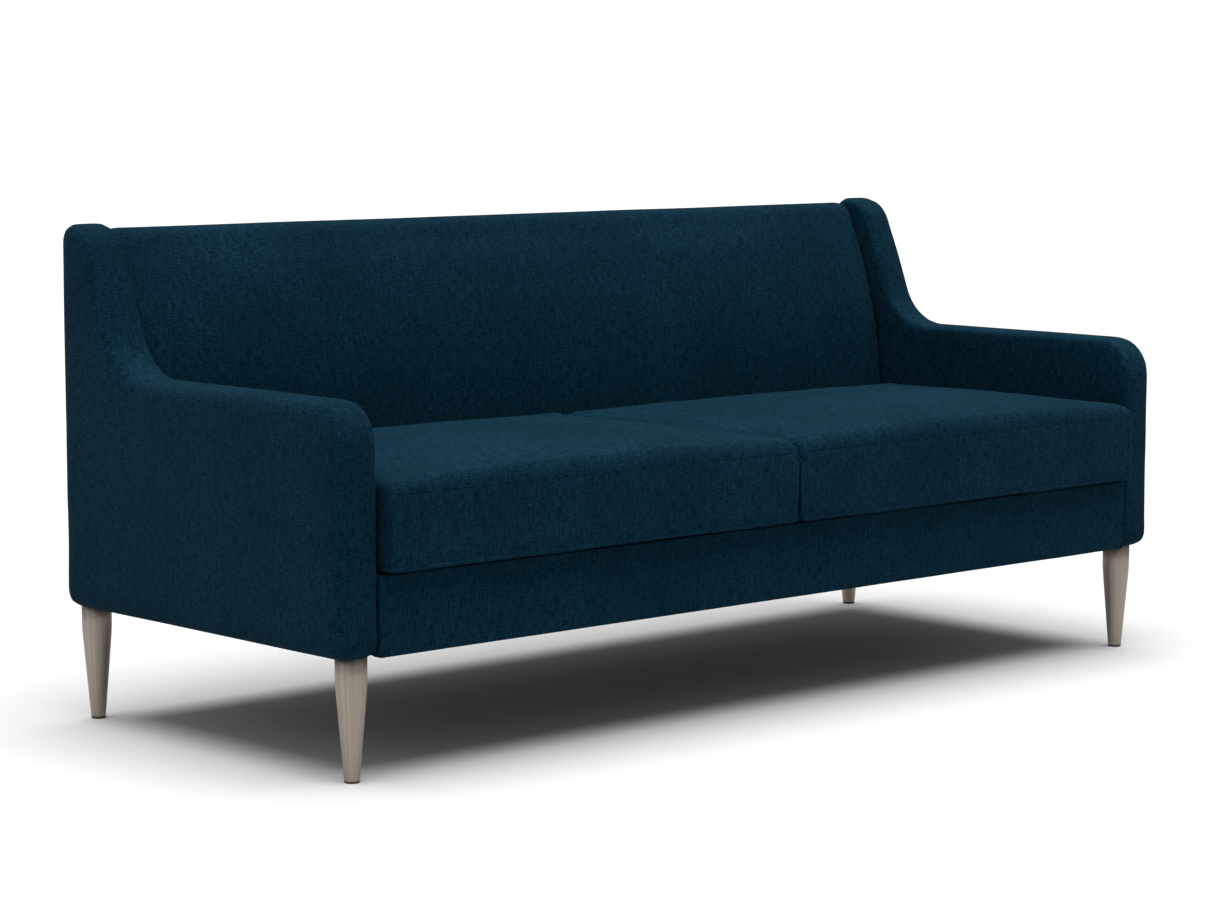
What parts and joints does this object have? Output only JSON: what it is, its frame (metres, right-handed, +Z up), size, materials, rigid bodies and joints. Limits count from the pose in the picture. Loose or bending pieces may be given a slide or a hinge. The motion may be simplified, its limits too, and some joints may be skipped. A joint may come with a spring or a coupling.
{
  "type": "futon sofa bed",
  "caption": "Upholstered sofa bed with winged side arms, loose seat cushions, tapered metal legs and a hinged back that folds down level with the seat.",
  "frame": {"origin": "on the floor under the middle of the whole sofa's bounding box, at rest as a sofa", "axes": "+Z up, -Y towards the front where a person sits, +X to the right of someone facing the sofa's front"},
  "size_m": [1.905, 0.78, 0.826],
  "materials": {
    "teal_linen": "heathered woven linen look, matt with a soft sheen",
    "black_cloth": "black non-woven cloth",
    "foam": "open-cell foam",
    "pine": "planed softwood",
    "plywood": "sanded plywood",
    "champagne_steel": "brushed champagne-tinted steel, satin",
    "zinc_steel": "zinc-plated pressed steel",
    "spring_steel": "oil-blacked spring wire",
    "dark_plastic": "dark moulded plastic"
  },
  "bodies": {
    "base": {"arm_frame_left": "plywood", "arm_cover_left": "teal_linen", "arm_frame_right": "plywood", "arm_cover_right": "teal_linen", "leg_front_left": "champagne_steel", "leg_glide_front_left": "dark_plastic", "leg_plate_front_left": "zinc_steel", "leg_bolt_front_left": "zinc_steel", "leg_rear_left": "champagne_steel", "leg_glide_rear_left": "dark_plastic", "leg_plate_rear_left": "zinc_steel", "leg_bolt_rear_left": "zinc_steel", "leg_front_right": "champagne_steel", "leg_glide_front_right": "dark_plastic", "leg_plate_front_right": "zinc_steel", "leg_bolt_front_right": "zinc_steel", "leg_rear_right": "champagne_steel", "leg_glide_rear_right": "dark_plastic", "leg_plate_rear_right": "zinc_steel", "leg_bolt_rear_right": "zinc_steel", "front_rail": "pine", "spring_rail": "pine", "rear_rail": "pine", "centre_rail": "pine", "side_rail_left": "pine", "side_rail_right": "pine", "front_apron": "teal_linen", "rear_apron": "teal_linen", "seat_spring_1": "spring_steel", "seat_spring_2": "spring_steel", "seat_spring_3": "spring_steel", "seat_spring_4": "spring_steel", "seat_deck": "black_cloth", "dust_cover": "black_cloth", "hinge_plate_left": "zinc_steel", "hinge_pin_left": "zinc_steel", "pawl_pin_left": "zinc_steel", "pawl_spring_left": "spring_steel", "hinge_plate_right": "zinc_steel", "hinge_pin_right": "zinc_steel", "pawl_pin_right": "zinc_steel", "pawl_spring_right": "spring_steel"},
    "back": {"back_pad": "teal_linen", "back_panel": "teal_linen", "back_gusset_left": "plywood", "back_gusset_centre": "plywood", "back_gusset_right": "plywood", "back_bottom_rail": "pine", "back_top_rail": "pine", "back_web_lower": "black_cloth", "back_web_upper": "black_cloth", "hinge_lever_left": "zinc_steel", "hinge_lever_right": "zinc_steel"},
    "cushion_left": {"seat_cushion_cover_left": "teal_linen", "seat_cushion_foam_left": "foam"},
    "cushion_right": {"seat_cushion_cover_right": "teal_linen", "seat_cushion_foam_right": "foam"},
    "pawl_left": {"pawl_left": "zinc_steel"},
    "pawl_right": {"pawl_right": "zinc_steel"}
  },
  "joints": [
    {"name": "back_recline", "type": "hinge", "parent": "base", "child": "back", "pos_m": [0, 0.352, 0.345], "axis": [-1, 0, 0], "range_deg": [0, 78]},
    {"name": "cushion_left_lift", "type": "slide", "parent": "base", "child": "cushion_left", "axis": [0, 0, 1], "range_m": [0, 0.3]},
    {"name": "cushion_right_lift", "type": "slide", "parent": "base", "child": "cushion_right", "axis": [0, 0, 1], "range_m": [0, 0.3]},
    {"name": "pawl_left_release", "type": "hinge", "parent": "base", "child": "pawl_left", "pos_m": [-0.8656, 0.312, 0.283], "axis": [-1, 0, 0], "range_deg": [0, 12], "stiffness_Nm_per_rad": 0.3, "springref_deg": -20.05},
    {"name": "pawl_right_release", "type": "hinge", "parent": "base", "child": "pawl_right", "pos_m": [0.8656, 0.312, 0.283], "axis": [-1, 0, 0], "range_deg": [0, 12], "stiffness_Nm_per_rad": 0.3, "springref_deg": -20.05}
  ]
}
